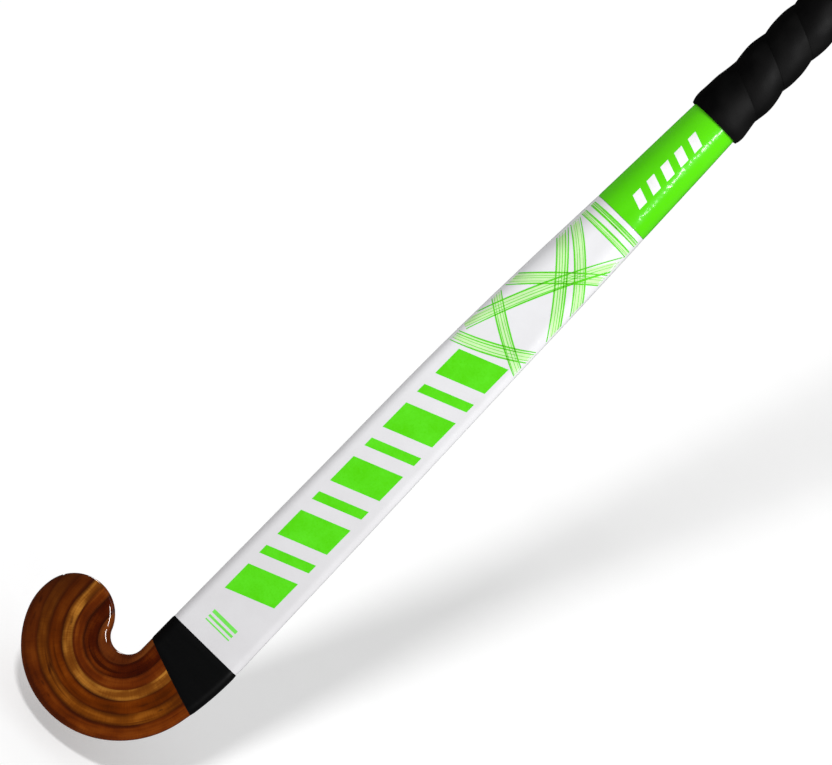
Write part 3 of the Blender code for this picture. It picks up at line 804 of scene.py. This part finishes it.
def on_shaft(points):
    """Whether each (x, z) point is on the playing side, just inside the shaft's edges."""
    x, z = points.T
    return (x > shaft_edge(z, 1) + SHAFT_MARGIN) & (x < shaft_edge(z, 2) - SHAFT_MARGIN)


def sideways(start, end):
    """Unit vector to the left of the way from start to end."""
    run = (end - start) / np.linalg.norm(end - start)
    return np.array((-run[1], run[0]))


def line_strip(start, end, bow, width):
    """Thin bowed strip between two points, narrower at its ends and cut off at the shaft's edges."""
    start = np.array(start)
    end = np.array(end)

    def line(t, side):
        t = t[:, None]
        half = width / 2.0 * (STRIP_END_WIDTH + (1.0 - STRIP_END_WIDTH) * np.sin(np.pi * t))
        return start + (end - start) * t + sideways(start, end) * (bow * 4.0 * t * (1.0 - t) + half * side)

    samples = np.linspace(0.0, 1.0, STRIP_SAMPLES)
    columns = []
    for side in np.linspace(-1.0, 1.0, max(3, round(width) + 2)):
        kept = samples[on_shaft(line(samples, side))]
        columns.append(line(np.linspace(kept[0], kept[-1], STRIP_STEPS), side))
    return np.stack(columns, axis=1)


def bundle(start, end, bow, spread, seed):
    """Strips of a brushed band: strong lines along its edges and fine ones between, uneven in place."""
    rng = np.random.default_rng(seed)
    start = np.array(start)
    end = np.array(end)
    normal = sideways(start, end)
    strips = []
    for i in range(RIBBON_LINES):
        outermost = i in (0, RIBBON_LINES - 1)
        offset = spread * (i / (RIBBON_LINES - 1) - 0.5) + rng.uniform(-LINE_SHIFT, LINE_SHIFT)
        drift = rng.uniform(-LINE_DRIFT, LINE_DRIFT)
        width = EDGE_LINE_WIDTH if outermost else rng.choice(INNER_LINE_WIDTHS)
        strips.append(line_strip(start + normal * offset, end + normal * (offset + drift), bow, width))
    return strips


def make_bars():
    grids = []
    z = BARS_FROM_Z
    for height in BAR_HEIGHTS:
        grids.append(slanted_bar(BAR_ENDS_X, z, BAR_RISE, height))
        z += height + BAR_GAP
    return print_grids("green_bars", grids, ink_material("green_ink", BAR_GREEN), "foil_green")


def make_small_mark():
    """Three plain stripes, thinnest at the bottom."""
    grids = [slanted_bar(STRIPE_ENDS_X, z, 0.0, width, rows=3) for z, width in STRIPES]
    ink = ink_material("small_green_ink", STRIPE_GREEN)
    return print_grids("small_stripes", grids, ink, "foil_green")


def make_ribbons():
    """Crossed translucent bands of fine brushed lines below the green sleeve."""
    washes = [line_strip(start, end, bow, width * WASH_SPREAD) for start, end, bow, width in RIBBONS]
    lines = []
    for i, (start, end, bow, width) in enumerate(RIBBONS):
        lines += bundle(start, end, bow, width, seed=RIBBON_SEED + i)
    wash_ink = ink_material("ribbon_wash", WASH_GREEN)
    line_ink = ink_material("ribbon_ink", LINE_GREEN)
    print_grids("ribbon_washes", washes, wash_ink, "foil_green", WASH_LAYER)
    print_grids("brushed_ribbons", lines, line_ink, "foil_green", 0.0, 2.0 * PRINT_HEIGHT)


def make_dashes():
    """Plain white slanted dashes on the green sleeve."""
    starts = [DASHES_FROM_Z + i * DASH_PITCH + DASH_DROP for i in range(DASH_COUNT)]
    grids = [slanted_bar(DASH_ENDS_X, z, -DASH_DROP, DASH_WIDTH, 10, 4) for z in starts]
    return print_grids("white_dashes", grids, ink_material("white_ink", DASH_WHITE), "foil_white")


# ------ grip, tape and cap


# Wound strip: where its edges run, and its heights over the handle.
GRIP_PITCH = 23.2
GRIP_FIRST_EDGE = 515.6
GRIP_TILT = 2.5
GRIP_BASE = 0.35
GRIP_EDGE = 0.8
GRIP_CROWN = 1.5
GRIP_LIP = 0.15
GRIP_OVERLAP = 1.6
GRIP_UNEVEN = 0.22
GRIP_STATIONS = 96  # per turn
CROWN_STEPS = 22

# Foot and top of the grip: how much thicker it starts and thinner it ends, and the heights it changes over.
GRIP_FOOT_SWELL = 0.30
GRIP_SWELL_Z = (522.0, 556.0)
GRIP_FOOT_ROUND = 8.0
GRIP_TOP_PINCH = 0.22
GRIP_PINCH_Z = (878.0, 895.0)

# First turn: how far up from the foot the strip gets its crown, and how it thins towards its upper edge.
GRIP_CROWNS_OVER = (9.5, 17.0)
GRIP_SLACK = 0.5
GRIP_SLACK_TURNS = (-1.45, -1.05)
GRIP_SLACK_REACH = 17.0


def grip_swell(z):
    """Thickness of the grip against its nominal one: full at the foot, pinched by the tape at the top."""
    first_turn = GRIP_FOOT_SWELL * (1.0 - smooth_step(z, *GRIP_SWELL_Z))
    pinched = GRIP_TOP_PINCH * smooth_step(z, *GRIP_PINCH_Z)
    rolled = np.clip((z - GRIP_Z[0] + 0.6) / GRIP_FOOT_ROUND, 0.10, 1.0)
    return (1.0 + first_turn - pinched) * np.sqrt(1.0 - (1.0 - rolled) ** 2)


def strip_section(firmness):
    """Section of the strip as (share of the pitch, height), from flat (firmness 0) to crowned (1)."""
    flat = GRIP_EDGE + GRIP_CROWN * 0.9
    lip_height = GRIP_EDGE + GRIP_LIP
    lip = [(0.026, 0.45 * lip_height), (0.010, 0.65 * lip_height), (0.002, 0.88 * lip_height)]
    crown = []
    for i in range(CROWN_STEPS + 1):
        t = i / CROWN_STEPS
        crowned = GRIP_EDGE + GRIP_CROWN * math.sin(math.pi * t) ** 0.9 + GRIP_LIP * (1.0 - t) ** 3
        crown.append((0.004 + 0.996 * t, flat + firmness * (crowned - flat)))
    tail = GRIP_OVERLAP / GRIP_PITCH
    tucked = [(1.0 + tail * 0.4, GRIP_EDGE * 0.62), (1.0 + tail, GRIP_EDGE * 0.5), (1.0 + tail, 0.0)]
    return np.array(lip + crown + tucked + [(0.5, 0.0), (tail + 0.02, 0.0)])


def make_grip():
    """Cushion strip wound up the handle in a left-handed spiral, each turn lapping the one below."""
    low, high = GRIP_Z
    reach = GRIP_PITCH + GRIP_OVERLAP
    first = (low - reach - GRIP_TILT - GRIP_FIRST_EDGE) / GRIP_PITCH
    last = (high + GRIP_TILT - GRIP_FIRST_EDGE) / GRIP_PITCH
    rings = []
    for turn in np.linspace(first, last, int((last - first) * GRIP_STATIONS)):
        angle = -2.0 * math.pi * turn
        edge = GRIP_FIRST_EDGE + GRIP_PITCH * turn - GRIP_TILT * math.cos(angle)
        firmness = float(smooth_step(edge - low, *GRIP_CROWNS_OVER))
        section = strip_section(firmness)
        z = edge + section[:, 0] * GRIP_PITCH
        uneven = np.array([noise.noise(Vector((math.cos(angle) * 2.2, math.sin(angle) * 2.2, h / 9.0)))
                           for h in z])
        top_edge = edge + GRIP_PITCH
        slack = GRIP_SLACK * (1.0 - firmness) * smooth_step(turn, *GRIP_SLACK_TURNS)
        thinned = 1.0 - slack * smooth_step(z, top_edge - GRIP_SLACK_REACH, top_edge)
        rough = GRIP_UNEVEN * uneven * (section[:, 1] > GRIP_EDGE)
        radius = half_width(z) + GRIP_BASE + section[:, 1] * grip_swell(z) * thinned + rough
        rings.append(np.stack([radius * math.cos(angle), radius * OVAL_RATIO * math.sin(angle), z], axis=1))
    grid = np.array(rings)
    rows, columns, _ = grid.shape
    faces = quads(rows, columns, around=True)
    faces.append(tuple(range(columns)))
    faces.append(tuple((rows - 1) * columns + c for c in range(columns)))
    obj = build_mesh("spiral_cushion_grip", grid.reshape(-1, 3), faces, sharp_deg=50.0, ends=GRIP_Z)
    return place(obj, grip_material(), "grip_black", "cushion_grip")


def grip_material():
    """Soft black polyurethane: fine leathery pebble, faint folds and patches of polish."""
    shader = Shader("cushion_rubber", Specular_IOR_Level=0.2)
    where = position(shader)
    pebble = shader.add("ShaderNodeTexVoronoi", {"Vector": where, "Scale": 1100.0}).outputs["Distance"]
    fine = shader.noise(where, 3200.0)
    folds = shader.streaks(where, (60.0, 60.0, 150.0))
    patches = shader.noise(where, 70.0)
    height = shader.blend((0.35, pebble), (0.2, fine), (1.6, folds))
    return shader.set(
        Base_Color=shader.mix(shader.remap(patches, 0.3, 0.7), *GRIP_BLACK),
        Roughness=shader.remap(patches, 0.3, 0.7, 0.56, 0.72),
        Normal=shader.bump(height, 0.5, 0.18),
    )


def tape_material():
    shader = Shader("finishing_tape", Coat_Weight=0.3, Coat_Roughness=0.2, Specular_IOR_Level=0.2)
    where = position(shader)
    stretch = shader.streaks(where, (300.0, 300.0, 1600.0))
    scuffs = shader.noise(where, 160.0, 4.0, 0.7)
    return shader.set(
        Base_Color=shader.mix(shader.remap(scuffs, 0.4, 0.7), *TAPE_BLACK),
        Roughness=shader.remap(scuffs, 0.3, 0.7, 0.3, 0.48),
        Normal=shader.bump(stretch, 0.3, 0.06),
    )


def make_tape():
    thickness = 0.55
    seam_room = 0.1
    soft = 0.15
    low, high = TAPE_Z
    outer = TAPE_RADIUS - seam_room
    inner = outer - thickness
    profile = [(inner, low), (outer - soft, low), (outer, low + soft)]
    profile += [(outer, z) for z in np.linspace(low + 1.0, high - 1.0, 8)]
    profile += [(outer, high - soft), (outer - soft, high), (inner, high)]
    obj = lathe("wound_finishing_tape", profile, seam_step=0.008)
    return place(obj, tape_material(), "tape_black", "grip_finish_tape")


def cap_material():
    shader = Shader("moulded_rubber_cap", Specular_IOR_Level=0.3)
    where = position(shader)
    grain = shader.noise(where, 2400.0, 4.0, 0.6)
    wear = shader.noise(where, 110.0, 4.0, 0.7)
    edge = shader.add("ShaderNodeNewGeometry").outputs["Pointiness"]
    worn = shader.math("MULTIPLY", shader.remap(edge, 0.51, 0.56), shader.remap(wear, 0.4, 0.65))
    return shader.set(
        Base_Color=shader.mix(worn, *CAP_BLACK),
        Roughness=shader.remap(wear, 0.3, 0.7, 0.48, 0.66),
        Normal=shader.bump(grain, 0.35, 0.08),
    )


# Butt cap; its top disc with a moulded ring is given as (radius, depth below the top).
CAP_TOP = ((0.0, 0.5), (3.0, 0.5), (3.5, 0.0), (7.0, 0.0), (7.3, 0.6), (8.5, 0.6), (8.8, 0.0), (12.0, 0.0))
CAP_THICKNESS = 6.0
CAP_BORE_RADIUS = 13.0
CAP_RIM_ROUND = 4.2
CAP_SHOULDER_ROUND = 0.8
CAP_SKIRT_LENGTH = 9.5
CAP_SKIRT_INSET = 1.6
CAP_SKIRT_BEVEL = 0.4
CAP_GROOVE_DROPS = (6.4, 9.0)
CAP_GROOVE_DEPTH = 0.5


def fillet(centre_r, centre_z, radius, to_deg, from_deg=0.0, steps=8):
    angles = np.radians(np.linspace(from_deg, to_deg, steps + 1))
    return [(centre_r + radius * math.cos(a), centre_z + radius * math.sin(a)) for a in angles]


def make_cap():
    """Rubber cup: plain skirt, shoulder, grooved side, rounded rim and a top disc with a moulded ring."""
    low, top = CAP_Z
    rim = CAP_RADIUS
    floor = rim - CAP_GROOVE_DEPTH
    skirt = rim - CAP_SKIRT_INSET
    shoulder = low + CAP_SKIRT_LENGTH
    profile = [(radius, top - depth) for radius, depth in CAP_TOP]
    profile += fillet(rim - CAP_RIM_ROUND, top - CAP_RIM_ROUND, CAP_RIM_ROUND, 0.0, from_deg=90.0)
    for drop in CAP_GROOVE_DROPS:
        z = top - drop
        profile += [(rim, z + 0.7), (floor, z + 0.3), (floor, z - 0.3), (rim, z - 0.7)]
    bend = CAP_SHOULDER_ROUND
    profile += fillet(rim - bend, shoulder + bend, bend, -80.0, steps=5)
    profile += [(skirt, shoulder - CAP_SKIRT_BEVEL), (skirt, low + CAP_SKIRT_BEVEL)]
    profile += [(skirt - CAP_SKIRT_BEVEL, low), (CAP_BORE_RADIUS, low)]
    profile += [(CAP_BORE_RADIUS, top - CAP_THICKNESS), (0.0, top - CAP_THICKNESS)]
    return place(lathe("moulded_butt_cap", profile), cap_material(), "cap_black", "butt_cap")


# ------ CAD nodes kept inside


def cane_material():
    shader = Shader("raw_cane")
    fibres = shader.streaks(position(shader), (1400.0, 1400.0, 20.0), 4.0, 0.6)
    return shader.set(
        Base_Color=shader.mix(fibres, *CANE),
        Roughness=shader.remap(fibres, 0.3, 0.7, 0.5, 0.7),
        Normal=shader.bump(fibres, 0.4, 0.2),
    )


def strip_rubber_material():
    shader = Shader("strip_rubber")
    grain = shader.noise(position(shader), 1500.0)
    return shader.set(
        Base_Color=shader.mix(grain, *STRIP_RUBBER),
        Roughness=shader.remap(grain, 0.3, 0.7, 0.7, 0.9),
        Normal=shader.bump(grain, 0.3, 0.1),
    )


def woven_material(name, tones):
    shader = Shader(name, Coat_Weight=0.2)
    weave = shader.weave(position(shader), 300.0)
    return shader.set(
        Base_Color=shader.mix(weave, *tones),
        Roughness=shader.remap(weave, 0.0, 1.0, 0.4, 0.6),
        Normal=shader.bump(weave, 0.4, 0.15),
    )


def dress_inner_nodes():
    looks = {
        "cane": cane_material(),
        "strip_rubber": strip_rubber_material(),
        "glass_fibre": woven_material("glass_cloth", GLASS_CLOTH),
        "underwrap": woven_material("underwrap_cloth", UNDERWRAP),
    }
    for node, slot in SLOTS.items():
        if slot in looks:
            for material_slot in frame["nodes"][node].material_slots:
                material_slot.material = looks[slot]


# ------ stage, light and camera


STAGE_HALF_M = 6.0
FLOOR_Z_M = -0.0002
FLOOR_GLOW = 0.38
PAPER_LEAN = 1.8  # metres back for each metre up
PAPER_START_M = 0.0295
PAPER_ENDS_Z_M = (-1.0, 3.0)
PAPER_GLOW = 0.217

# Panels of light: name, place, watts. The keys light by diffusion only, the strips by gloss only.
KEYS = (("key", (0.75, -1.05, 1.05), 16.0), ("back_key", (-0.8, 1.2, 1.0), 11.0))
STRIPS = (("strip", (1.45, -1.40, 1.30), 36.0), ("back_strip", (-0.45, 2.0, 1.75), 8.0))
KEY_SIZE_M = (0.6, 0.6)
STRIP_SIZE_M = (0.30, 1.3)
LIGHTS_AIM = (0.0, 0.0, 0.3)
SUN_PLACE = (-0.251, -1.0, 0.45)
SUN_SPREAD_DEG = 5.5
SUN_ENERGY = 1.5
WORLD_DIFFUSE = 0.52
WORLD_GLOSS = 0.04

# Camera: width of the view, the point it looks at (X from the handle's axis) and its roll.
VIEW_WIDTH_M = 0.4659
VIEW_X_M = -0.0174
VIEW_Y_M = -0.004
VIEW_Z_M = 0.2757
LENS_MM = 300.0
SENSOR_MM = 36.0
ROLL_SINE = 0.70026
ROLL_COSINE = 0.71389


def paper_material(name, glow, show):
    """Matt white paper; show(shader) says where it is seen, and elsewhere it is clear."""
    shader = Shader(name, Roughness=0.9, Specular_IOR_Level=0.0, Emission_Color=(1.0, 1.0, 1.0, 1.0),
                    Emission_Strength=glow)
    tooth = shader.noise(position(shader), 30.0)
    material = shader.set(Base_Color=shader.mix(tooth, *PAPER_WHITE))
    clear = shader.add("ShaderNodeBsdfTransparent").outputs["BSDF"]
    mix = shader.add("ShaderNodeMixShader", {0: show(shader), 1: clear})
    shader.tree.links.new(shader.principled.outputs["BSDF"], mix.inputs[2])
    shader.tree.links.new(mix.outputs["Shader"], shader.tree.nodes["Material Output"].inputs["Surface"])
    return material


def facing_front(shader):
    return shader.math("SUBTRACT", 1.0, shader.add("ShaderNodeNewGeometry").outputs["Backfacing"])


def looked_down_on(shader):
    """0 where the view skims along the floor, 1 from about ten degrees up."""
    seen = shader.add("ShaderNodeNewGeometry").outputs
    tilt = shader.add("ShaderNodeVectorMath", {0: seen["Incoming"], 1: seen["Normal"]},
                      operation="DOT_PRODUCT").outputs["Value"]
    return shader.remap(tilt, 0.10, 0.18)


def stage_sheet(name, profile, material):
    """Flat sheet running along X between two (y, z) edges, in metres."""
    vertices = [(x, y, z) for y, z in profile for x in (-STAGE_HALF_M, STAGE_HALF_M)]
    mesh = bpy.data.meshes.new(name)
    mesh.from_pydata(vertices, [], [(0, 1, 3, 2)])
    obj = link_object(name, mesh)
    mesh.materials.append(material)
    obj.visible_glossy = False
    return obj


def make_stage():
    """Pale level floor, and a paper sheet leaning back behind the stick that takes its soft shadow."""
    floor_edges = [(y, FLOOR_Z_M) for y in (-STAGE_HALF_M, STAGE_HALF_M)]
    floor = stage_sheet("floor", floor_edges, paper_material("pale_floor", FLOOR_GLOW, looked_down_on))
    floor.visible_shadow = False
    floor.visible_diffuse = False
    paper_edges = [(PAPER_START_M + PAPER_LEAN * z, z) for z in PAPER_ENDS_Z_M]
    pale_paper = paper_material("pale_paper", PAPER_GLOW, facing_front)
    return [floor, stage_sheet("leaning_paper", paper_edges, pale_paper)]


def light_only(light, objects):
    """Let a light reach only the given objects."""
    receivers = bpy.data.collections.new(f"lit_by_{light.name}")
    for obj in objects:
        receivers.objects.link(obj)
    light.light_linking.receiver_collection = receivers


def add_light(kind, name, where, target, energy):
    light = link_object(name, bpy.data.lights.new(name, kind))
    light.data.energy = energy
    light.location = where
    aim = Vector(target) - Vector(where)
    light.rotation_euler = aim.to_track_quat("-Z", "Y").to_euler()
    return light


def panel_light(name, where, watts, size, objects):
    light = add_light("AREA", name, where, LIGHTS_AIM, watts)
    light.data.shape = "RECTANGLE"
    light.data.size, light.data.size_y = size
    light_only(light, objects)
    return light


def make_lights(stage):
    """Soft keys, narrow strips for the gloss of all but the cap, and a sun that lights only the stage."""
    pieces = [obj for obj in bpy.context.scene.objects if obj.type == "MESH" and obj not in stage]
    glossy = [obj for obj in pieces if obj.name != "moulded_butt_cap"]
    for name, where, watts in KEYS:
        panel_light(name, where, watts, KEY_SIZE_M, pieces).visible_glossy = False
    for name, where, watts in STRIPS:
        panel_light(name, where, watts, STRIP_SIZE_M, glossy).visible_diffuse = False
    sun = add_light("SUN", "sun", SUN_PLACE, (0.0, 0.0, 0.0), SUN_ENERGY)
    sun.data.angle = math.radians(SUN_SPREAD_DEG)
    light_only(sun, stage)


def make_world():
    """White surroundings for the camera, softer for diffuse light and dim in reflections."""
    world = bpy.data.worlds.new("studio")
    bpy.context.scene.world = world
    world.use_nodes = True
    tree = world.node_tree
    background = tree.nodes["Background"]
    background.inputs["Color"].default_value = (1.0, 1.0, 1.0, 1.0)
    path = tree.nodes.new("ShaderNodeLightPath")
    glossy = tree.nodes.new("ShaderNodeMapRange")
    glossy.inputs["To Min"].default_value = WORLD_DIFFUSE
    glossy.inputs["To Max"].default_value = WORLD_GLOSS
    tree.links.new(path.outputs["Is Glossy Ray"], glossy.inputs["Value"])
    seen = tree.nodes.new("ShaderNodeMath")
    seen.operation = "MAXIMUM"
    tree.links.new(path.outputs["Is Camera Ray"], seen.inputs[0])
    tree.links.new(glossy.outputs["Result"], seen.inputs[1])
    tree.links.new(seen.outputs["Value"], background.inputs["Strength"])


def make_camera():
    """Long lens square on to the playing face, rolled so that the stick runs from corner to corner."""
    data = bpy.data.cameras.new("camera")
    data.lens = LENS_MM
    data.sensor_width = SENSOR_MM
    distance = VIEW_WIDTH_M * LENS_MM / SENSOR_MM
    camera = link_object("camera", data)
    camera.matrix_world = Matrix((
        (ROLL_COSINE, -ROLL_SINE, 0.0, HANDLE_X * MM + VIEW_X_M),
        (0.0, 0.0, -1.0, VIEW_Y_M - distance),
        (ROLL_SINE, ROLL_COSINE, 0.0, VIEW_Z_M),
        (0.0, 0.0, 0.0, 1.0),
    ))
    bpy.context.scene.camera = camera


def main():
    for index in range(len(LAMINA_LOOKS)):
        make_lamina(index)
    make_band()
    white = film_material("white_film", FILM_WHITE, WHITE_PAINTED_LIGHT_Z, 0.38)
    make_sleeve("white_film_sleeve", *WHITE_Z, white, "foil_white", "white_sleeve")
    green = film_material("green_film", FILM_GREEN, GREEN_Z, 0.26)
    make_sleeve("green_film_sleeve", *GREEN_Z, green, "foil_green", "green_sleeve")
    make_bars()
    make_small_mark()
    make_ribbons()
    make_dashes()
    make_grip()
    make_tape()
    make_cap()
    dress_inner_nodes()
    stage = make_stage()
    make_lights(stage)
    make_world()
    make_camera()
    bpy.context.scene.view_settings.view_transform = "Standard"


main()
